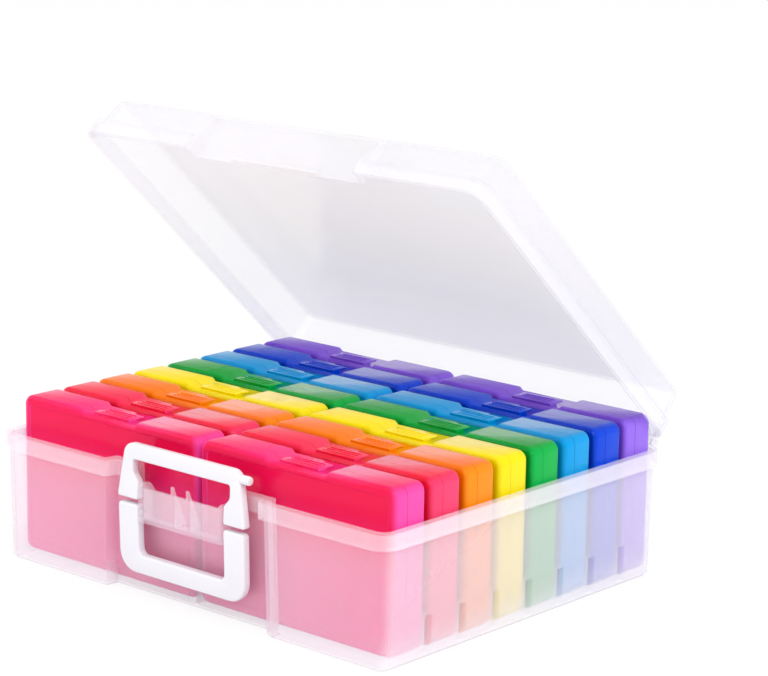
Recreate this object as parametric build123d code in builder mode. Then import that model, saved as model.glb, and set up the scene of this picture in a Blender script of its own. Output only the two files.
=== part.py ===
"""Photo keeper case.

A clear carrying box with a hinged lid, a swing-over latch frame and a fold-out
carry handle, holding two columns of slim snap-shut photo cases.

Millimetres. X runs to the right along the front, Y to the rear, Z up. The origin
is the centre of the box's underside. The lid is modelled shut and then swung open.
"""

import os
from math import cos, radians, sin

from build123d import *

os.makedirs("parts", exist_ok=True)

# Photo cases, which set the size of the box
case_rows = ["pink", "red", "orange", "yellow", "green", "teal", "blue", "violet"]
case_width = 179.5
case_height = 117.0
cover_depth = 12.0
tray_depth = 18.7
seam_gap = 0.3
case_wall = 1.5
case_corner = 5.0  # the corners are cut off straight
case_edge = 2.5  # bevel round the two big faces
panel_margin = 9.0  # plain border round the sunk panel in the cover
panel_sink = 0.6

# Snap tab at the top of each cover
dip_half = 27.0  # dip in the case's top for the tab
dip_depth = 2.5
tab_half = 18.0
tab_sheet = 1.4
tab_overlap = 7.0  # over the tray's top
tab_clearance = 0.4
tab_start = 4.0  # behind the cover's face

# Snap-on hinge at the foot of each photo case, on which the case stands
knuckle = 2.4  # half the height of the hinge block
knuckle_pin = 1.2
knuckle_ear = 3.0
clip_length = 40.0
clip_gap = 0.3
clip_lip = 1.0
clip_mouth = 0.9
clip_sides = 8  # the clip grips the pin on eight flats

# Room round the photo cases
column_gap = 4.0
row_gap = 4.7
side_gap = 1.2
front_gap = 1.4
rear_gap = 1.1
headroom = 10.1  # from the photo cases to the shut lid

# Outer box
rim_height = 96.0  # where box and lid part
rim_band = 12.0  # height of the band round the rim
rim_overhang = 3.5  # the band stands out this far from the wall
rim_skirt = 1.6  # thickness of the band's hanging skirt
rim_flange = 2.0
rim_corner = 16.0  # plan radius of the band's corners
wall_corner = 9.8  # plan radius of the walls' corners at the rim
wall = 1.8
floor = 2.5
wall_lean = 2.0  # the walls lean in this much down to the floor
foot_edge = 3.0  # bevel where the walls turn into the floor
root = 1.2  # how deep a piece moulded on to a wall or floor is rooted in it

# Lid
lid_plate = 2.0
lid_lean = 1.0  # the lid's walls lean in this much up to its top
lid_slope = 6.0  # its front wall leans in this much more
lid_edge = 3.0  # bevel round the lid's top
parting_gap = 0.3
lid_open = 43.0  # degrees, as it stands at rest

# Latch recess in the front
recess_half = 72.5
lid_recess_half = 79.0
recess_slant = 1.5
recess_depth = 10.0
mouth_corner = 4.0  # the rim band follows the recess round a soft corner
window_half = 50.0  # band and wall are cut away behind the latch
window_corner = 6.0
window_below = 2.0  # sill of the window below the latch pivot
ledge_half = 41.0  # the lid's ledge that the latch swings over
ledge_reach = 4.1
ledge_height = 4.2
catch_gap = 1.0  # between the ledge and the latch's bar

# Lid hinge
hinge_behind = 6.5  # hinge axis behind the rim
hinge_inset = 28.0  # middle of each hinge from the end of the rim
barrel_radius = 5.5
barrel_length = 14.0
barrel_gap = 0.3
ear_width = 7.0
ear_foot = 10.0  # how far along the rim the ears are carried
ear_slope = 45.0  # degrees
hinge_pin_radius = 2.4
hinge_pin_length = 5.8
running_gap = 0.05

# Bracket for the latch and the handle
pivot_out = 9.5  # pivot lines in front of the recessed wall
pivot_below = 16.0  # latch pivot below the parting plane
pivot_spacing = 16.0  # handle pivot below the latch pivot
bracket_half = 37.5
bracket_below = 6.0  # foot of the bracket below the handle pivot
bracket_above = 3.0  # top of its plate above the latch pivot
bracket_sheet = 2.0
cheek = 3.0
cheek_rise = 5.5
cheek_corner = 3.0
fin_rise = 9.5
fin_sheet = 1.6
fin_spacing = 15.0
pin_radius = 2.5
pin_length = 10.0

# Latch frame
frame_thickness = 7.0
foot_half = 62.5
foot_inner = 42.0
foot_height = 6.0  # broad feet above the pivot
foot_taper = 6.0  # height over which the feet narrow to the legs
top_half = 55.5
frame_window_half = 47.5
frame_bar = 11.5
latch_drop = 7.0
latch_lean = 2.0  # degrees inward at rest
latch_corner = 6.0
frame_soft = 2.0  # small corners of latch and handle, cut off straight
pin_hole_depth = 11.0
tab_radius = 3.2
tab_reach = 9.0
tab_drop = 6.0

# Carry handle
handle_outer_half = 61.5
handle_inner_half = 42.0
handle_rise = 5.5
handle_drop = 45.0
handle_bar = 14.0
handle_lean = 2.0
handle_corner = 15.0
grip_corner = 5.0

# Posts and ribs that keep the cases apart
post_height = 27.0
post_base = 8.0
post_tip = 2.6
post_reach = 4.3
rib_thickness = 2.4
cross_width = 14.0
front_post_width = 16.0
front_post_height = 40.0
front_post_depth = 0.4

# Worked out from the above
rows = len(case_rows)
case_thickness = cover_depth + seam_gap + tray_depth
row_pitch = case_thickness + row_gap
wall_reach = rim_overhang + wall_lean + wall  # from the band's face to the wall's inside at the floor
rim_width = 2 * (case_width + side_gap + wall_reach) + column_gap
rim_depth = rows * row_pitch - row_gap + front_gap + rear_gap + recess_depth + 2 * wall_reach
side_inner = rim_width / 2 - wall_reach
rear_inner = rim_depth / 2 - wall_reach
recess_wall_y = -rim_depth / 2 + rim_overhang + recess_depth
first_front = recess_wall_y + wall_lean + wall + front_gap
gap_lines = [first_front + row * row_pitch - row_gap / 2 for row in range(1, rows)]
case_stand = floor + knuckle
seam_middle = cover_depth + seam_gap / 2
dip_floor = case_height - dip_depth
lid_bottom = rim_height + parting_gap
lid_top = case_stand + case_height + headroom + lid_plate
hinge_y = rim_depth / 2 + hinge_behind
hinge_middle = rim_width / 2 - hinge_inset
pivot_y = recess_wall_y - pivot_out
latch_pivot = rim_height - pivot_below
handle_pivot = latch_pivot - pivot_spacing
window_sill = latch_pivot - window_below
latch_rise = pivot_below + parting_gap + ledge_height + catch_gap + frame_bar
bracket_front = pivot_y - frame_thickness / 2
bracket_sill = handle_pivot - bracket_below
grip_top = handle_bar - handle_drop


def plan(level, inset, corner, half, depth, mouth=0):
    """The box's outline at one level, with the latch recess in its front."""
    side = rim_width / 2 - inset
    end = rim_depth / 2 - inset
    corners = [
        (-side, -end),
        (-half - recess_slant - inset, -end),
        (-half - inset, -end + depth),
        (half + inset, -end + depth),
        (half + recess_slant + inset, -end),
        (side, -end),
        (side, end),
        (-side, end),
    ]
    with BuildSketch(Plane.XY.offset(level)) as outline:
        with BuildLine():
            radii = [corner, mouth, mouth, mouth, mouth, corner, corner, corner]
            FilletPolyline(*corners, radius=radii, close=True)
        make_face()
    return outline.sketch.face()


def lid_plan(level, inset, corner, slope=0):
    """The lid's outline at one level, its front edge set back by the slope."""
    with BuildSketch(Plane.XY.offset(level)) as outline:
        with Locations((0, slope / 2)):
            RectangleRounded(rim_width - 2 * inset, rim_depth - 2 * inset - slope, corner)
    return outline.sketch.face()


def flanks(*outlines):
    """A solid with straight flanks through outlines at several levels."""
    with BuildPart() as body:
        loft(sections=outlines, ruled=True)
    return body.part


def lid_recess(grown):
    """The prism that the latch recess takes from the lid's front, grown by a wall or not."""
    with BuildPart() as prism:
        with BuildSketch(Plane.XY.offset(rim_height - root)):
            with BuildLine():
                Polyline(
                    (-lid_recess_half - recess_slant - grown, -rim_depth / 2 - grown),
                    (-lid_recess_half - grown, recess_wall_y + grown),
                    (lid_recess_half + grown, recess_wall_y + grown),
                    (lid_recess_half + recess_slant + grown, -rim_depth / 2 - grown),
                    close=True,
                )
            make_face()
        extrude(amount=lid_top - rim_height + 2 * root)
    return prism.part


def band(low, half, depth, mouth):
    """The rim band: a flange with a skirt hanging from it."""
    with BuildPart() as ring:
        with BuildSketch(Plane.XY.offset(low)):
            add(plan(0, 0, rim_corner, half, depth, mouth))
        extrude(amount=rim_band)
        with BuildSketch(Plane.XY.offset(low)):
            add(plan(0, rim_skirt, rim_corner - rim_skirt, half, depth))
        extrude(amount=rim_band - rim_flange, mode=Mode.SUBTRACT)
    return ring.part


def front(y, z=0.0):
    """A plane facing the front, its own y upwards."""
    return Plane((0, y, z), x_dir=(1, 0, 0), z_dir=(0, -1, 0))


def turned(part, y, z, degrees):
    """The part turned about a line along X; a positive turn lifts its front."""
    pivot = Location((0, y, z), (-degrees, 0, 0))
    return part.moved(pivot * Location((0, -y, -z)))


def finish(part, name):
    """Name a piece and write it."""
    part.label = name
    export_step(part, f"parts/{name}.step")


def bracket():
    """Plate, shelf, fins, cheeks and pivot pins on the recessed wall."""
    rear = recess_wall_y + root
    plate_top = latch_pivot + bracket_above
    with BuildPart() as piece:
        with BuildSketch(Plane.YZ):
            with BuildLine():
                Polyline(
                    (bracket_front, bracket_sill),
                    (rear, bracket_sill),
                    (rear, bracket_sill + bracket_sheet),
                    (bracket_front + bracket_sheet, bracket_sill + bracket_sheet),
                    (bracket_front + bracket_sheet, plate_top),
                    (bracket_front, plate_top),
                    close=True,
                )
            make_face()
        extrude(amount=bracket_half, both=True)
        for side in (-1, 1):
            with BuildSketch(Plane.YZ.offset(side * fin_spacing / 2)):
                with BuildLine():
                    Polyline(
                        (bracket_front, bracket_sill),
                        (bracket_front, latch_pivot + fin_rise),
                        (bracket_front + fin_sheet, latch_pivot + fin_rise),
                        (rear, bracket_sill),
                        close=True,
                    )
                make_face()
            extrude(amount=fin_sheet / 2, both=True)
            with BuildSketch(Plane.YZ.offset(side * (bracket_half + cheek / 2))):
                with BuildLine():
                    FilletPolyline(
                        (bracket_front, bracket_sill),
                        (bracket_front, latch_pivot + cheek_rise),
                        (pivot_y + cheek_rise, latch_pivot + cheek_rise),
                        (rear, window_sill),
                        (rear, bracket_sill),
                        radius=[0, cheek_corner, cheek_corner, 0, 0],
                        close=True,
                    )
                make_face()
            extrude(amount=cheek / 2, both=True)
            with BuildSketch(Plane((side * bracket_half, 0, 0), x_dir=(0, side, 0), z_dir=(side, 0, 0))):
                with Locations((side * pivot_y, latch_pivot), (side * pivot_y, handle_pivot)):
                    Circle(pin_radius)
            extrude(amount=cheek + pin_length)
    return piece.part


def hinge_web(x, rise, bore=0):
    """Outline of a hinge ring and its web on the rim, below (-1) or above (1) the parting plane."""
    skirt = rim_depth / 2 - rim_skirt / 2
    start = rim_height + rise * parting_gap
    across = barrel_radius * cos(radians(ear_slope))
    up = barrel_radius * sin(radians(ear_slope))
    with BuildSketch(Plane.YZ.offset(x)) as web:
        with BuildLine():
            Polyline(
                (skirt, start),
                (skirt, rim_height + rise * ear_foot),
                (hinge_y + across, rim_height + rise * up),
                (hinge_y, start),
                close=True,
            )
        make_face()
        with Locations((hinge_y, rim_height)):
            Circle(barrel_radius)
            if bore:
                Circle(bore, mode=Mode.SUBTRACT)
    return web.sketch


def hinge_ears():
    """The bored ears on the rear rim, one at the outer end of each hinge."""
    reach = hinge_middle + barrel_length / 2 + barrel_gap + ear_width / 2
    with BuildPart() as ears:
        for side in (-1, 1):
            web = hinge_web(side * reach, -1, hinge_pin_radius + running_gap)
            extrude(web, amount=ear_width / 2, both=True)
    return ears.part


def hinge_barrels():
    """The lid's half of the hinges: two barrels with a pin at their outer ends."""
    with BuildPart() as barrels:
        for side in (-1, 1):
            extrude(hinge_web(side * hinge_middle, 1), amount=barrel_length / 2, both=True)
            with BuildSketch(Plane.YZ.offset(side * hinge_middle)):
                with Locations((hinge_y, rim_height)):
                    Circle(hinge_pin_radius)
            extrude(amount=side * (barrel_length / 2 + hinge_pin_length))
    return barrels.part


def dividers():
    """Posts on the side walls, the middle rib with its crosses, and the front post."""
    rib_front = recess_wall_y + wall_lean + wall - root
    rib_rear = rear_inner + root
    outer = side_inner + root
    tip = side_inner - post_reach
    with BuildPart() as pieces:
        with BuildSketch(Plane.XY.offset(floor - root)):
            for y in gap_lines:
                for side in (-1, 1):
                    with BuildLine():
                        Polyline(
                            (side * outer, y - post_base / 2),
                            (side * outer, y + post_base / 2),
                            (side * tip, y + post_tip / 2),
                            (side * tip, y - post_tip / 2),
                            close=True,
                        )
                    make_face()
                with Locations((0, y)):
                    Rectangle(cross_width, post_tip)
            with Locations((0, (rib_front + rib_rear) / 2)):
                Rectangle(rib_thickness, rib_rear - rib_front)
        extrude(amount=root + post_height)
        with BuildSketch(Plane.XY.offset(floor - root)):
            with Locations((0, rib_front)):
                Rectangle(front_post_width, root + front_post_depth, align=(Align.CENTER, Align.MIN))
        extrude(amount=root + front_post_height)
    return pieces.part


def bored(side, inner, z):
    """Plane on a frame leg's inner face, where a pivot hole starts."""
    return Plane((side * inner, pivot_y, z), x_dir=(0, side, 0), z_dir=(side, 0, 0))


# Lower box
low_inset = rim_overhang + wall_lean
foot_corner = wall_corner - wall_lean
block = flanks(
    plan(0, low_inset + foot_edge, foot_corner - foot_edge, recess_half, recess_depth),
    plan(foot_edge, low_inset, foot_corner, recess_half, recess_depth),
    plan(rim_height, rim_overhang, wall_corner, recess_half, recess_depth),
)
moulded_dividers = dividers() & block

with BuildPart() as case_base:
    add(block)
    add(band(rim_height - rim_band, recess_half, recess_depth, mouth_corner))
    add(hinge_ears())
    add(
        flanks(
            plan(floor, low_inset + wall, foot_corner - wall, recess_half, recess_depth),
            plan(rim_height + root, rim_overhang + wall, wall_corner - wall, recess_half, recess_depth),
        ),
        mode=Mode.SUBTRACT,
    )
    with BuildSketch(front(-rim_depth / 2, rim_height)):
        RectangleRounded(2 * window_half, 2 * (rim_height - window_sill), window_corner)
    extrude(amount=-(recess_depth + wall_reach), mode=Mode.SUBTRACT)
    add(bracket())
    add(moulded_dividers)
finish(case_base.part, "case_base")

# Lid, modelled shut
top_inset = rim_overhang + lid_lean
lid_corner = wall_corner - lid_lean
hollow = flanks(
    lid_plan(rim_height - root, rim_overhang + wall, wall_corner - wall),
    lid_plan(lid_top - lid_edge, top_inset + wall, lid_corner - wall, lid_slope),
    lid_plan(lid_top - lid_plate, top_inset + lid_edge, lid_corner - lid_edge, lid_slope),
)
walled_hollow = hollow - lid_recess(wall)

with BuildPart() as case_lid:
    add(
        flanks(
            lid_plan(lid_bottom, rim_overhang, wall_corner),
            lid_plan(lid_top - lid_edge, top_inset, lid_corner, lid_slope),
            lid_plan(lid_top, top_inset + lid_edge, lid_corner - lid_edge, lid_slope),
        )
    )
    add(band(lid_bottom, lid_recess_half, recess_depth + rim_overhang, 0))
    add(lid_recess(0), mode=Mode.SUBTRACT)
    add(hinge_barrels())
    add(walled_hollow, mode=Mode.SUBTRACT)
    with BuildSketch(Plane.XY.offset(lid_bottom)):
        with Locations((0, recess_wall_y + root)):
            Rectangle(2 * ledge_half, ledge_reach + root, align=(Align.CENTER, Align.MAX))
    extrude(amount=ledge_height)
finish(turned(case_lid.part, hinge_y, rim_height, lid_open), "case_lid")

# Latch frame, modelled upright
with BuildPart() as lid_latch:
    with BuildSketch(front(pivot_y, latch_pivot)) as shape:
        with BuildLine():
            Polyline(
                (0, latch_rise),
                (top_half, latch_rise),
                (foot_half, -latch_drop),
                (foot_inner, -latch_drop),
                (foot_inner, foot_height),
                (frame_window_half, foot_height + foot_taper),
                (frame_window_half, latch_rise - frame_bar),
                (0, latch_rise - frame_bar),
            )
            mirror(about=Plane.YZ)
        make_face()
        fillet(shape.vertices().group_by(Axis.Y)[-1], latch_corner)
        chamfer(shape.vertices().group_by(Axis.Y)[0], frame_soft)
    extrude(amount=frame_thickness / 2, both=True)
    with BuildSketch(Plane.YZ.offset(top_half - frame_soft)):
        with Locations((pivot_y, latch_pivot + latch_rise - tab_drop)):
            Circle(tab_radius)
    extrude(amount=frame_soft + tab_reach)
    for side in (-1, 1):
        with BuildSketch(bored(side, foot_inner, latch_pivot)):
            Circle(pin_radius + running_gap)
        extrude(amount=pin_hole_depth, mode=Mode.SUBTRACT)
finish(turned(lid_latch.part, pivot_y, latch_pivot, latch_lean), "lid_latch")

# Carry handle, modelled hanging
with BuildPart() as carry_handle:
    with BuildSketch(front(pivot_y, handle_pivot)) as shape:
        with BuildLine():
            FilletPolyline(
                (handle_inner_half, handle_rise),
                (handle_outer_half, handle_rise),
                (handle_outer_half, -handle_drop),
                (-handle_outer_half, -handle_drop),
                (-handle_outer_half, handle_rise),
                (-handle_inner_half, handle_rise),
                (-handle_inner_half, grip_top),
                (handle_inner_half, grip_top),
                radius=[0, 0, handle_corner, handle_corner, 0, 0, grip_corner, grip_corner],
                close=True,
            )
        make_face()
        chamfer(shape.vertices().group_by(Axis.Y)[-1], frame_soft)
    extrude(amount=frame_thickness / 2, both=True)
    for side in (-1, 1):
        with BuildSketch(bored(side, handle_inner_half, handle_pivot)):
            Circle(pin_radius + running_gap)
        extrude(amount=pin_hole_depth, mode=Mode.SUBTRACT)
finish(turned(carry_handle.part, pivot_y, handle_pivot, -handle_lean), "carry_handle")


def upright(y, inset):
    """The photo case's outline at one depth, with the dip for the snap tab in its top."""
    side = case_width / 2 - inset
    top = case_height - inset
    dip = dip_half + inset
    with BuildSketch(front(y)) as outline:
        with BuildLine():
            Polyline(
                (0, inset),
                (side - case_corner, inset),
                (side, inset + case_corner),
                (side, top - case_corner),
                (side - case_corner, top),
                (dip, top),
                (dip - dip_depth, top - dip_depth),
                (0, top - dip_depth),
            )
            mirror(about=Plane.YZ)
        make_face()
    return outline.sketch.face()


def half_case(face_y, seam_y, inner_y):
    """One shell of a photo case: a bevelled tray open towards the seam."""
    edge_y = face_y + (case_edge if seam_y > face_y else -case_edge)
    with BuildPart() as half:
        add(flanks(upright(face_y, case_edge), upright(edge_y, 0), upright(seam_y, 0)))
        extrude(upright(inner_y, case_wall), amount=inner_y - seam_y, mode=Mode.SUBTRACT)
    return half.part


clip_outer = clip_length / 2 + clip_gap

with BuildPart() as photo_case_cover:
    add(half_case(0, cover_depth, case_wall + panel_sink))
    with BuildSketch(front(0, case_height / 2)):
        Rectangle(case_width - 2 * panel_margin, case_height - 2 * panel_margin)
    extrude(amount=-panel_sink, mode=Mode.SUBTRACT)
    with BuildSketch(Plane.YZ):
        with BuildLine():
            Polyline(
                (tab_start, dip_floor - case_wall / 2),
                (cover_depth, dip_floor - case_wall / 2),
                (cover_depth, dip_floor + tab_clearance),
                (cover_depth + seam_gap + tab_overlap, dip_floor + tab_clearance),
                (cover_depth + seam_gap + tab_overlap, dip_floor + tab_clearance + tab_sheet),
                (tab_start, dip_floor + tab_clearance + tab_sheet),
                close=True,
            )
        make_face()
    extrude(amount=tab_half, both=True)
    with BuildSketch(Plane.YZ):
        with Locations((seam_middle, 0)):
            Rectangle(2 * (knuckle + clip_gap), 2 * (knuckle + clip_gap))
    extrude(amount=clip_outer + knuckle_ear + clip_gap, both=True, mode=Mode.SUBTRACT)
    with BuildSketch(Plane.YZ):
        with Locations((seam_middle, 0)):
            Rectangle(2 * (knuckle + clip_lip), 2 * (knuckle - clip_gap))
            RegularPolygon(knuckle_pin + running_gap, clip_sides, major_radius=False, mode=Mode.SUBTRACT)
            Rectangle(2 * knuckle, 2 * clip_mouth, align=(Align.MIN, Align.CENTER), mode=Mode.SUBTRACT)
    extrude(amount=clip_length / 2, both=True)

with BuildPart() as photo_case_tray:
    add(half_case(case_thickness, cover_depth + seam_gap, case_thickness - case_wall))
    with BuildSketch(Plane.YZ):
        with Locations((seam_middle, 0)):
            Rectangle(2 * (knuckle + clip_lip + clip_gap), 2 * (knuckle + clip_gap))
    extrude(amount=clip_outer, both=True, mode=Mode.SUBTRACT)
    for side in (-1, 1):
        with BuildSketch(Plane.YZ.offset(side * (clip_outer + knuckle_ear / 2))):
            with Locations((seam_middle, 0)):
                Rectangle(2 * knuckle, 2 * knuckle)
        extrude(amount=knuckle_ear / 2, both=True)
    with BuildSketch(Plane.YZ):
        with Locations((seam_middle, 0)):
            Circle(knuckle_pin)
    extrude(amount=clip_outer, both=True)

for row, colour in enumerate(case_rows):
    for side, column in ((-1, "left"), (1, "right")):
        place = Location((side * (case_width + column_gap) / 2, first_front + row * row_pitch, case_stand))
        finish(photo_case_cover.part.moved(place), f"photo_case_cover_{colour}_{column}")
        finish(photo_case_tray.part.moved(place), f"photo_case_tray_{colour}_{column}")
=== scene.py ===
"""Photo keeper case: its looks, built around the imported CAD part. Metres, Z up.

The box and the lid keep the CAD shape with its edges softened. The sixteen photo cases, the latch and
the handle are modelled here, in millimetres, and brought to metres as they are finished.
"""

from math import cos, radians, sin

import bmesh
import bpy
from mathutils import Matrix, Vector


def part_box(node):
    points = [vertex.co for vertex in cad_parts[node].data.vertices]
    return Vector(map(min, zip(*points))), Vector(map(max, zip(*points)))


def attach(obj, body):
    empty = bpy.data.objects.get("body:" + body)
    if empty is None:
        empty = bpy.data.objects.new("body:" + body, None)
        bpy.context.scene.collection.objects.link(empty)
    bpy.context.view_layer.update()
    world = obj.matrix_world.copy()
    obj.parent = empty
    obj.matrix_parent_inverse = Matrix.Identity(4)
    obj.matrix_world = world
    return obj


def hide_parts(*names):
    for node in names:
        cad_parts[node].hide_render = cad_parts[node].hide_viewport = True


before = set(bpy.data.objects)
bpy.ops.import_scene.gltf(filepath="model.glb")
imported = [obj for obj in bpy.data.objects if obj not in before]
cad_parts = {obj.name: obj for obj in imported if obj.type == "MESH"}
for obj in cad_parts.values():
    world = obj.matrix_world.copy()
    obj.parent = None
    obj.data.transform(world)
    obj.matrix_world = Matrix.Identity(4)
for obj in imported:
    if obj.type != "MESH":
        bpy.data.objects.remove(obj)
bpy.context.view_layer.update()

MM = 0.001

# Colours of the eight rows of photo cases, front to rear: the plastic; its ends, a lighter colour that is
# painted light on the sides and low down; its rims seen along the surface, a darker painted shade; and
# the light that one wall lets through
ROWS = {
    "pink": ((0.98, 0.006, 0.085), (0.98, 0.1, 0.5), (0.8, 0.02, 0.25), (0.99, 0.4, 0.7)),
    "red": ((0.95, 0.01, 0.05), (0.99, 0.07, 0.21), (0.7, 0.01, 0.06), (0.99, 0.35, 0.5)),
    "orange": ((1.0, 0.21, 0.0), (1.0, 0.35, 0.005), (0.9, 0.12, 0.0), (0.99, 0.72, 0.15)),
    "yellow": ((1.0, 0.82, 0.0), (0.98, 0.86, 0.003), (0.9, 0.62, 0.0), (0.99, 0.94, 0.25)),
    "green": ((0.0, 0.35, 0.035), (0.0, 0.54, 0.09), (0.0, 0.22, 0.01), (0.1, 0.88, 0.5)),
    "teal": ((0.0, 0.33, 0.66), (0.0, 0.42, 0.86), (0.0, 0.2, 0.5), (0.1, 0.8, 0.97)),
    "blue": ((0.0, 0.055, 0.56), (0.0, 0.08, 0.8), (0.0, 0.02, 0.4), (0.08, 0.45, 0.95)),
    "violet": ((0.2, 0.07, 0.6), (0.4, 0.2, 0.92), (0.12, 0.03, 0.45), (0.66, 0.55, 0.97)),
}
COLUMNS = ("left", "right")

# Plastics: the milky box, the lid, the painted shade of their rims seen along the surface, the white frames
BOX_COLOUR, LID_COLOUR = (0.97, 0.935, 0.975), (0.9, 0.895, 0.92)
CLEAR_RIM_SHADE, WHITE_COLOUR = (0.38, 0.36, 0.44), (0.7, 0.695, 0.73)
BOX_FILM, LID_FILM = (0.998, 0.995, 1.0), (0.996, 0.996, 1.0)
PLASTIC_IOR = 1.49
RIM_SHADE_BLEND, COVER_BLEND = 0.12, 0.4  # how soon a slanting face takes its painted rim shade and grows cloudier
PAINTED_LIGHT_SPAN, PAINTED_LIGHT_SHARE = (0.05, 0.105), 0.7  # painted light: heights over which the photo cases are painted lighter towards the bottom, in metres
FOOT_HEIGHT = 0.03  # how far up the foot of the box is cloudier, in metres
NEARLY_WHITE = (1, 0.995, 1, 1)

# Photo cases, in millimetres
CASE_WALL = 1.5
CASE_CORNER, CORNER_STEPS = 7.0, 6
CASE_EDGE, EDGE_STEPS = 3.6, 4
COVER_DEPTH = 12.0
SEAM_GAP = 0.3
KNUCKLE = 2.4
DIP_HALF, DIP_SLOPE, DIP_DEPTH = 27.0, 3.0, 2.5
PANEL_MARGIN, PANEL_CORNER, PANEL_STEP, PANEL_SINK = 6.2, 3.0, 0.8, 0.7
TAB_HALF, TAB_START, TAB_END = 18.0, 4.0, 19.3
TAB_SHEET, TAB_CLEARANCE, TAB_ROOT_DEPTH, TAB_ROOT_RISE = 1.4, 0.4, 1.2, 0.6
RIDGES, RIDGE_HALF, RIDGE_WIDTH, RIDGE_RISE, RIDGE_ROOT = 3, 14.0, 0.9, 0.5, 0.2
PIN_RADIUS, PIN_CLEARANCE = 1.2, 0.1
CLIP_HALF, CLIP_LIP, CLIP_HALF_HEIGHT, CLIP_GAP = 20.0, 1.0, 2.1, 0.3
EAR_WIDTH = 3.0

# Latch, handle and mouldings, in millimetres
PIVOT_Y = -150.0
LATCH_PIVOT, HANDLE_PIVOT = 80.0, 64.0
FRAME_HALF_THICKNESS = 3.5
FRAME_EDGE = 1.7
LATCH_LEAN, HANDLE_LEAN = 2.0, -2.0  # degrees towards the front
MOULDING_EDGE = 0.35


# ---------------------------------------------------------------- materials
class Graph:
    """The nodes of a material or the world. Each node that is added gives back one of its outputs."""

    def __init__(self, owner):
        owner.use_nodes = True
        self.tree = owner.node_tree
        self.tree.nodes.clear()

    def add(self, kind, output=0, inputs=None, **settings):
        """Add a node. Its inputs are numbers, colours or other nodes' outputs."""
        node = self.tree.nodes.new(kind)
        for name, value in settings.items():
            setattr(node, name, value)
        for name, value in (inputs or {}).items():
            if isinstance(value, bpy.types.NodeSocket):
                self.tree.links.new(value, node.inputs[name])
            else:
                node.inputs[name].default_value = value
        return node.outputs[output] if node.outputs else None

    def math(self, operation, *values, clamp=False):
        return self.add("ShaderNodeMath", inputs=dict(enumerate(values)), operation=operation, use_clamp=clamp)

    def ramp(self, value, span, ends, kind="SMOOTHSTEP"):
        """From one end to the other as the value runs over its span."""
        inputs = {"Value": value, "From Min": span[0], "From Max": span[1], "To Min": ends[0], "To Max": ends[1]}
        return self.add("ShaderNodeMapRange", "Result", inputs, interpolation_type=kind)

    def mixed_colours(self, share, first, second):
        return self.add("ShaderNodeMix", "Result", {"Factor": share, "A": first, "B": second}, data_type="RGBA")

    def mixed_shaders(self, share, first, second):
        return self.add("ShaderNodeMixShader", inputs={"Fac": share, 1: first, 2: second})

    def coordinate(self, kind, axis):
        return self.add("ShaderNodeSeparateXYZ", axis, {"Vector": self.add("ShaderNodeTexCoord", kind)})

    def noise(self, scale, detail):
        place = self.add("ShaderNodeTexCoord", "Object")
        return self.add("ShaderNodeTexNoise", "Fac", {"Vector": place, "Scale": scale, "Detail": detail})

    def cloudy(self, colour, depth, scale):
        """The slight unevenness of moulded plastic: the colour, a little darker in soft clouds."""
        darker = (*(c * (1 - depth) for c in colour), 1)
        return self.mixed_colours(self.noise(scale, 3.0), darker, (*colour, 1))

    def rippled(self, height, scale):
        """The faint ripple of a moulded surface."""
        ripple = self.noise(scale, 2.0)
        return self.add("ShaderNodeBump", "Normal", {"Distance": height, "Strength": 0.3, "Height": ripple})


def see_through_plastic(
    name, colour, painted_light_colour, painted_rim_shade, film, *, cover, edge_cover, side_light_cover, roughness, gloss, foot=0.0
):
    """Tinted or milky plastic: each face is part film, which colours what lies behind, and part solid.

    The sides are painted a lighter colour and made cloudier, and the colour is painted lighter low down:
    painted light, for the light that runs along the walls and leaves there. Where a face is seen along
    its surface, it is painted its darker rim colour, a painted shade.
    """
    material = bpy.data.materials.new(name)
    graph = Graph(material)
    side = graph.math("ABSOLUTE", graph.coordinate("Normal", "X"))
    height = graph.coordinate("Object", "Z")

    # painted light: the sides and the parts low down take the lighter colour
    painted_light_share = graph.math("MAXIMUM", side, graph.ramp(height, PAINTED_LIGHT_SPAN, (PAINTED_LIGHT_SHARE, 0.0)))
    body = graph.mixed_colours(painted_light_share, graph.cloudy(colour, 0.08, 14.0), (*painted_light_colour, 1))
    # painted shade: a face seen along its surface takes the darker rim colour
    rim_shade_share = graph.add("ShaderNodeLayerWeight", "Facing", {"Blend": RIM_SHADE_BLEND})
    solid = graph.add("ShaderNodeBsdfPrincipled", "BSDF", {
        "Base Color": graph.mixed_colours(rim_shade_share, body, (*painted_rim_shade, 1)),
        "Roughness": roughness,
        "IOR": PLASTIC_IOR,
        "Specular IOR Level": gloss,
        "Normal": graph.rippled(0.0001, 50.0),
    })
    clear = graph.add("ShaderNodeBsdfTransparent", "BSDF", {"Color": (*film, 1)})

    facing = graph.add("ShaderNodeLayerWeight", "Facing", {"Blend": COVER_BLEND})
    share = graph.ramp(facing, (0.0, 1.0), (cover, edge_cover), "LINEAR")
    # painted light: the sides are made cloudier, so they show more of the lighter solid plastic
    share = graph.math("MULTIPLY_ADD", side, side_light_cover, share, clamp=True)
    if foot:
        near_foot = graph.ramp(height, (0.0, FOOT_HEIGHT), (side, 0.0))
        share = graph.math("MULTIPLY_ADD", near_foot, foot, share, clamp=True)
    graph.add("ShaderNodeOutputMaterial", inputs={"Surface": graph.mixed_shaders(share, clear, solid)})
    return material


def white_plastic():
    """The opaque glossy white of the latch and handle."""
    material = bpy.data.materials.new("white_plastic")
    graph = Graph(material)
    solid = graph.add("ShaderNodeBsdfPrincipled", "BSDF", {
        "Base Color": graph.cloudy(WHITE_COLOUR, 0.03, 40.0),
        "Roughness": 0.2,
        "IOR": PLASTIC_IOR,
        "Subsurface Weight": 0.2,
        "Subsurface Radius": (0.004, 0.004, 0.004),
        "Normal": graph.rippled(0.0002, 120.0),
    })
    graph.add("ShaderNodeOutputMaterial", inputs={"Surface": solid})
    return material


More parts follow.
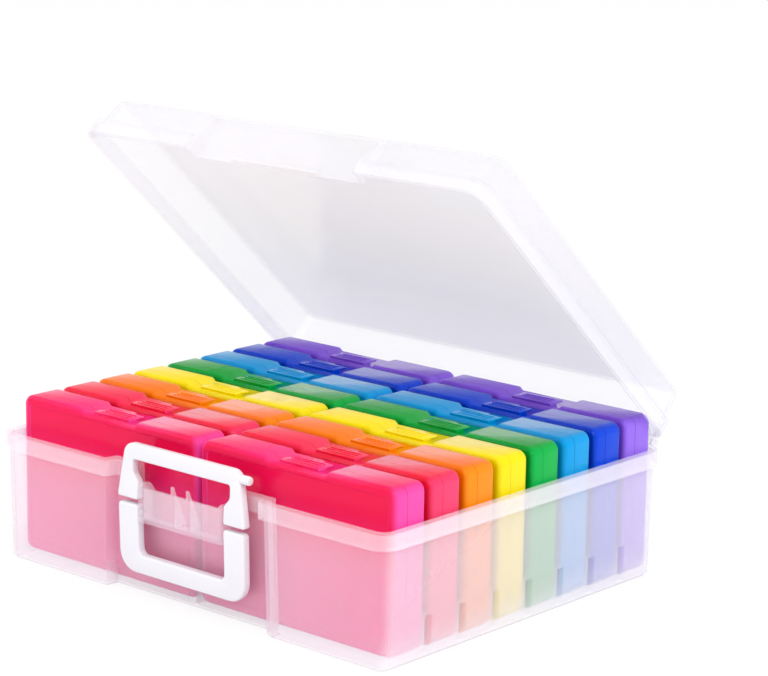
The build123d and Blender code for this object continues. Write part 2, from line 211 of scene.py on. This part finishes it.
base_plastic = see_through_plastic(
    "box_plastic", BOX_COLOUR, BOX_COLOUR, CLEAR_RIM_SHADE, BOX_FILM,
    cover=0.07, edge_cover=0.45, side_light_cover=0.09, roughness=0.14, gloss=0.5, foot=0.12,
)
lid_plastic = see_through_plastic(
    "lid_plastic", LID_COLOUR, LID_COLOUR, CLEAR_RIM_SHADE, LID_FILM,
    cover=0.06, edge_cover=0.45, side_light_cover=0.0, roughness=0.12, gloss=0.5,
)
white = white_plastic()
tinted = {
    name: see_through_plastic(
        f"{name}_plastic", *colours, cover=0.42, edge_cover=0.9, side_light_cover=0.1, roughness=0.06, gloss=0.25
    )
    for name, colours in ROWS.items()
}


# ---------------------------------------------------------------- modelling helpers
def round_off(shape, corners, radius, steps):
    """Turn corners of an outline into arcs."""
    bmesh.ops.bevel(
        shape, geom=corners, offset=radius, segments=steps, profile=0.5, affect="VERTICES", material=-1
    )


def soften(shape, edges, width, steps):
    """Round the edges of a solid."""
    bmesh.ops.bevel(
        shape, geom=edges, offset=width, segments=steps, profile=0.5, affect="EDGES", material=-1,
        clamp_overlap=True,
    )


def pull(shape, face, depth):
    """Extrude a face along Y, and turn the whole shape's faces outwards."""
    made = bmesh.ops.extrude_face_region(shape, geom=[face])["geom"]
    moved = [v for v in made if isinstance(v, bmesh.types.BMVert)]
    bmesh.ops.translate(shape, verts=moved, vec=(0, depth, 0))
    bmesh.ops.recalc_face_normals(shape, faces=shape.faces)


def faces_at(shape, y):
    """The large flat faces across Y at one place."""
    return [f for f in shape.faces if abs(f.normal.y) > 0.99 and abs(f.calc_center_median().y - y) < 0.01]


def block(shape, low, high, edge):
    """A box with rounded edges, from its lowest and highest corners."""
    low, high = Vector(low), Vector(high)
    made = bmesh.ops.create_cube(shape, size=1.0)["verts"]
    bmesh.ops.scale(shape, verts=made, vec=high - low)
    bmesh.ops.translate(shape, verts=made, vec=(low + high) / 2)
    soften(shape, list({e for v in made for e in v.link_edges}), edge, 2)


def rod(shape, start, end, radius, edge):
    """A round rod along X with softened ends."""
    turn = Matrix.Rotation(radians(90), 4, "Y")
    middle = (Vector(start) + Vector(end)) / 2
    made = bmesh.ops.create_cone(
        shape, cap_ends=True, segments=24, radius1=radius, radius2=radius,
        depth=abs(end[0] - start[0]), matrix=Matrix.Translation(middle) @ turn,
    )["verts"]
    edges = {e for v in made for e in v.link_edges}
    rims = [e for e in edges if abs(e.verts[0].co.x - e.verts[1].co.x) < 0.01]
    soften(shape, rims, edge, 2)


def finish_piece(shape, name, body, nodes, slot, material, sharp=40.0):
    """Make the piece, let it ride on its body and stand for its CAD nodes."""
    bmesh.ops.scale(shape, verts=shape.verts, vec=(MM, MM, MM))
    mesh = bpy.data.meshes.new(name)
    shape.to_mesh(mesh)
    shape.free()
    mesh.polygons.foreach_set("use_smooth", [True] * len(mesh.polygons))
    mesh.set_sharp_from_angle(angle=radians(sharp))
    mesh.materials.append(material)
    piece = bpy.data.objects.new(name, mesh)
    bpy.context.collection.objects.link(piece)
    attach(piece, body)
    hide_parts(*nodes)
    return piece


# ---------------------------------------------------------------- photo cases
def case_ring(shape, middle, half, low, high, inset, radius, y, dip):
    """One loop of a case's skin, the inset inside its outline, with round corners and the tab's dip."""
    dip_end = DIP_HALF + DIP_SLOPE
    points = []
    for side, level, start in ((1, -1, -90), (1, 1, 0), (-1, 1, 90), (-1, -1, 180)):
        x = middle + side * (half - inset - radius)
        z = (high - inset - radius) if level > 0 else (low + inset + radius)
        for step in range(CORNER_STEPS + 1):
            turn = radians(start + 90 * step / CORNER_STEPS)
            points.append((x + radius * cos(turn), z + radius * sin(turn)))
        if (side, level) == (1, 1):
            for x, sunk in ((dip_end, 0), (DIP_HALF, dip), (-DIP_HALF, dip), (-dip_end, 0)):
                points.append((middle + x, high - inset - sunk))
    return [shape.verts.new((x, y, z)) for x, z in points]


def case_shell(middle, half, low, high, face_y, seam_y):
    """One shell of a photo case: rounded, open towards the seam, with a sunk panel in its large face."""
    inward = 1 if seam_y > face_y else -1
    rings = [(0, CASE_CORNER, seam_y, DIP_DEPTH)]
    for step in range(EDGE_STEPS + 1):
        turn = radians(90 * step / EDGE_STEPS)
        inset = CASE_EDGE * (1 - cos(turn))
        y = face_y + inward * CASE_EDGE * (1 - sin(turn))
        rings.append((inset, CASE_CORNER - inset, y, DIP_DEPTH))
    rings.append((PANEL_MARGIN, PANEL_CORNER, face_y, 0))
    rings.append((PANEL_MARGIN + PANEL_STEP, PANEL_CORNER - PANEL_STEP, face_y + inward * PANEL_SINK, 0))

    shape = bmesh.new()
    loops = [case_ring(shape, middle, half, low, high, *ring) for ring in rings]
    for outer, inner in zip(loops, loops[1:]):
        for n in range(len(outer)):
            shape.faces.new((outer[n - 1], outer[n], inner[n], inner[n - 1]))
    panel = shape.faces.new(loops[-1])
    bmesh.ops.recalc_face_normals(shape, faces=shape.faces)
    if panel.normal.y * inward > 0:
        bmesh.ops.reverse_faces(shape, faces=shape.faces)
    bmesh.ops.solidify(shape, geom=shape.faces[:], thickness=CASE_WALL)
    bmesh.ops.recalc_face_normals(shape, faces=shape.faces)
    return shape


def snap_tab(middle, face_y, seam, foot, top):
    """What the cover carries: the tab with its ridges, and the clip that grips the hinge pin."""
    shape = bmesh.new()
    sheet = top - DIP_DEPTH + TAB_CLEARANCE
    tab_y = face_y + TAB_START
    block(shape, (middle - TAB_HALF, tab_y, sheet),
          (middle + TAB_HALF, face_y + TAB_END, sheet + TAB_SHEET), edge=0.5)
    block(shape, (middle - TAB_HALF, tab_y, sheet - TAB_ROOT_DEPTH),
          (middle + TAB_HALF, face_y + COVER_DEPTH, sheet + TAB_ROOT_RISE), edge=0.4)
    for n in range(RIDGES):
        y = tab_y + (n + 1) * (TAB_END - TAB_START) / (RIDGES + 1)
        block(shape, (middle - RIDGE_HALF, y - RIDGE_WIDTH / 2, sheet + TAB_SHEET - RIDGE_ROOT),
              (middle + RIDGE_HALF, y + RIDGE_WIDTH / 2, sheet + TAB_SHEET + RIDGE_RISE), edge=0.25)
    reach, over_pin = KNUCKLE + CLIP_LIP, PIN_RADIUS + PIN_CLEARANCE
    for y0, y1, z0 in (
        (-reach, -over_pin, -CLIP_HALF_HEIGHT),
        (over_pin, reach, -CLIP_HALF_HEIGHT),
        (-reach, reach, over_pin),
    ):
        block(shape, (middle - CLIP_HALF, seam + y0, foot + z0),
              (middle + CLIP_HALF, seam + y1, foot + CLIP_HALF_HEIGHT), edge=0.3)
    return shape


def hinge_pin(middle, seam, foot):
    """What the tray carries: the pin between its two ears."""
    shape = bmesh.new()
    for side in (-1, 1):
        inner = middle + side * (CLIP_HALF + CLIP_GAP)
        outer = inner + side * EAR_WIDTH
        block(shape, (min(inner, outer), seam - KNUCKLE, foot - KNUCKLE),
              (max(inner, outer), seam + KNUCKLE, foot + KNUCKLE), edge=0.4)
    rod(shape, (middle - CLIP_HALF, seam, foot), (middle + CLIP_HALF, seam, foot), PIN_RADIUS, edge=0.1)
    return shape


def photo_case(colour, column):
    """One case: its two shells, the snap tab and the hinge that it stands on."""
    place = f"{colour}_{column}"
    cover, tray = f"photo_case_cover_{place}", f"photo_case_tray_{place}"
    low, high = (Vector(corner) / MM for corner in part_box(tray))
    face_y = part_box(cover)[0][1] / MM
    middle, half = (low.x + high.x) / 2, (high.x - low.x) / 2
    foot, top = low.z + KNUCKLE, high.z
    seam = face_y + COVER_DEPTH + SEAM_GAP / 2
    looks = f"{colour}_plastic", tinted[colour]

    front = case_shell(middle, half, foot, top, face_y, seam - SEAM_GAP / 2)
    finish_piece(front, f"cover_shell_{place}", f"cover_{place}", [cover], *looks)
    rear = case_shell(middle, half, foot, top, high.y, seam + SEAM_GAP / 2)
    finish_piece(rear, f"tray_shell_{place}", f"tray_{place}", [tray], *looks)
    tab = snap_tab(middle, face_y, seam, foot, top)
    finish_piece(tab, f"snap_tab_{place}", f"cover_{place}", [cover], *looks)
    hinge = hinge_pin(middle, seam, foot)
    finish_piece(hinge, f"hinge_pin_{place}", f"tray_{place}", [tray], *looks)


# ---------------------------------------------------------------- latch and handle
def mirrored(corners):
    return [(-x, z, radius) for x, z, radius in corners]


def white_frame(corners, pivot):
    """A flat frame with rounded edges, from its corners: X, height over the pivot line, and radius."""
    corners = [(x, z + pivot, radius) for x, z, radius in corners]
    shape = bmesh.new()
    front = PIVOT_Y - FRAME_HALF_THICKNESS
    shape.faces.new([shape.verts.new((x, front, z)) for x, z, _ in corners])
    for x, z, radius in corners:
        corner = [v for v in shape.verts if (v.co.x - x) ** 2 + (v.co.z - z) ** 2 < 0.01]
        round_off(shape, corner, radius, 6)
    pull(shape, shape.faces[:][0], 2 * FRAME_HALF_THICKNESS)
    rear = PIVOT_Y + FRAME_HALF_THICKNESS
    soften(shape, [e for y in (front, rear) for f in faces_at(shape, y) for e in f.edges], FRAME_EDGE, 4)
    return shape


def lean_about(shape, z, degrees):
    """Tip a frame about its pivot line."""
    turn = Matrix.Rotation(radians(-degrees), 3, "X")
    bmesh.ops.rotate(shape, verts=shape.verts, cent=(0, PIVOT_Y, z), matrix=turn)


def lid_latch():
    """The swing-over frame: broad feet on the pivot line, two legs, a cross bar and a thumb tab."""
    rise, drop, foot_rise, taper, bar = 33.0, 7.0, 6.0, 6.0, 11.5
    foot_half, foot_inner, top_half, window_half = 62.5, 42.0, 55.5, 47.5
    tab_rise, tab_radius, tab_root, tab_reach = 27.0, 3.2, 4.0, 2.0
    outer = [(foot_inner, -drop, 2.0), (foot_half, -drop, 2.5), (top_half, rise, 7.0)]
    inner = [(foot_inner, foot_rise, 1.5), (window_half, foot_rise + taper, 2.0), (window_half, rise - bar, 2.0)]
    shape = white_frame(outer + mirrored(outer[::-1]) + mirrored(inner) + inner[::-1], LATCH_PIVOT)
    tab_z = LATCH_PIVOT + tab_rise
    tab_ends = (top_half - tab_root, PIVOT_Y, tab_z), (foot_half + tab_reach, PIVOT_Y, tab_z)
    rod(shape, *tab_ends, tab_radius, edge=1.4)
    lean_about(shape, LATCH_PIVOT, LATCH_LEAN)
    finish_piece(shape, "latch_frame", "latch", ["lid_latch"], "white_plastic", white)


def carry_handle():
    """The handle hangs from its two ends, with a deep grip bar and large lower corners."""
    outer_half, inner_half = 61.5, 42.0
    rise, grip_drop, drop = 5.5, 31.0, 45.0
    outer = [(outer_half, rise, 3.0), (outer_half, -drop, 15.0)]
    inner = [(inner_half, rise, 2.0), (inner_half, -grip_drop, 5.0)]
    shape = white_frame(outer + mirrored(outer[::-1]) + mirrored(inner) + inner[::-1], HANDLE_PIVOT)
    lean_about(shape, HANDLE_PIVOT, HANDLE_LEAN)
    finish_piece(shape, "handle_frame", "handle", ["carry_handle"], "white_plastic", white)


# ---------------------------------------------------------------- box and lid
def softened(node, name, body, material):
    """A clear moulding: the CAD shape with its facets joined and its edges rounded."""
    shape = bmesh.new()
    shape.from_mesh(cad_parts[node].data)
    bmesh.ops.remove_doubles(shape, verts=shape.verts, dist=1e-6)
    bmesh.ops.dissolve_limit(shape, angle_limit=radians(0.3), verts=shape.verts, edges=shape.edges)
    bmesh.ops.scale(shape, verts=shape.verts, vec=(1 / MM, 1 / MM, 1 / MM))
    piece = finish_piece(shape, name, body, [node], "clear_plastic", material, sharp=25.0)
    edges = piece.modifiers.new("edges", "BEVEL")
    edges.width = MOULDING_EDGE * MM
    edges.segments = 2
    edges.limit_method = "ANGLE"
    edges.angle_limit = radians(30)
    edges.use_clamp_overlap = True
    edges.harden_normals = True


for colour in ROWS:
    for column in COLUMNS:
        photo_case(colour, column)
lid_latch()
carry_handle()
softened("case_base", "box_shell", "base", base_plastic)
softened("case_lid", "lid_shell", "lid", lid_plastic)


# ---------------------------------------------------------------- floor, light and camera
def pale_world():
    """White as seen and mirrored, and a plain level of light on the object."""
    world = bpy.data.worlds.new("studio")
    bpy.context.scene.world = world
    graph = Graph(world)
    seen = graph.add("ShaderNodeBackground", inputs={"Color": NEARLY_WHITE})
    lighting = graph.add("ShaderNodeBackground", inputs={"Color": (0.98, 0.98, 1, 1), "Strength": 1.08})
    share = graph.add("ShaderNodeLightPath", "Is Camera Ray")
    for ray in ("Is Glossy Ray", "Is Transmission Ray"):
        share = graph.math("MAXIMUM", share, graph.add("ShaderNodeLightPath", ray))
    graph.add("ShaderNodeOutputWorld", inputs={"Surface": graph.mixed_shaders(share, lighting, seen)})


def pale_floor():
    """A white floor that keeps a faint shadow."""
    mesh = bpy.data.meshes.new("floor")
    shape = bmesh.new()
    bmesh.ops.create_grid(shape, x_segments=1, y_segments=1, size=6.0)
    shape.to_mesh(mesh)
    shape.free()
    floor = bpy.data.objects.new("floor", mesh)
    bpy.context.collection.objects.link(floor)
    material = bpy.data.materials.new("floor_white")
    graph = Graph(material)
    matt = graph.add("ShaderNodeBsdfPrincipled", "BSDF", {
        "Base Color": (0.93, 0.925, 0.93, 1), "Roughness": 0.8, "Specular IOR Level": 0.1,
    })
    glow = graph.add("ShaderNodeEmission", inputs={"Color": NEARLY_WHITE})
    share = graph.math("MULTIPLY", graph.add("ShaderNodeLightPath", "Is Camera Ray"), 0.88)
    graph.add("ShaderNodeOutputMaterial", inputs={"Surface": graph.mixed_shaders(share, matt, glow)})
    mesh.materials.append(material)


def softbox(name, place, target, size, watts):
    """A rectangular lamp that faces its target."""
    lamp = bpy.data.lights.new(name, "AREA")
    lamp.shape = "RECTANGLE"
    lamp.size, lamp.size_y = size
    lamp.energy = watts
    holder = bpy.data.objects.new(name, lamp)
    bpy.context.collection.objects.link(holder)
    holder.location = place
    holder.rotation_euler = (Vector(target) - Vector(place)).to_track_quat("-Z", "Y").to_euler()


def make_camera():
    """The camera stands to the right of the front corner, above the open lid."""
    yaw, pitch, roll, place = 0.7198, -0.223, 0.0158, (1.2756, -1.3971, 0.6014)
    forward = Vector((-sin(yaw) * cos(pitch), cos(yaw) * cos(pitch), sin(pitch)))
    right = forward.cross(Vector((0, 0, 1))).normalized()
    up = right.cross(forward)
    tilted_right = right * cos(roll) + up * sin(roll)
    tilted_up = up * cos(roll) - right * sin(roll)
    camera = bpy.data.objects.new("camera", bpy.data.cameras.new("camera"))
    bpy.context.collection.objects.link(camera)
    camera.data.lens = 125.7
    camera.data.sensor_width = 36.0
    turn = Matrix((tilted_right, tilted_up, -forward)).transposed().to_4x4()
    camera.matrix_world = Matrix.Translation(place) @ turn
    bpy.context.scene.camera = camera


pale_world()
pale_floor()
softbox("key", place=(1.6, -0.9, 1.9), target=(0, 0, 0.1), size=(1.6, 1.6), watts=31.0)
softbox("fill", place=(-1.8, -1.4, 1.4), target=(0, 0, 0.1), size=(1.6, 1.6), watts=10.0)
make_camera()
scene = bpy.context.scene
scene.view_settings.view_transform = "Standard"
scene.cycles.transparent_max_bounces = 48
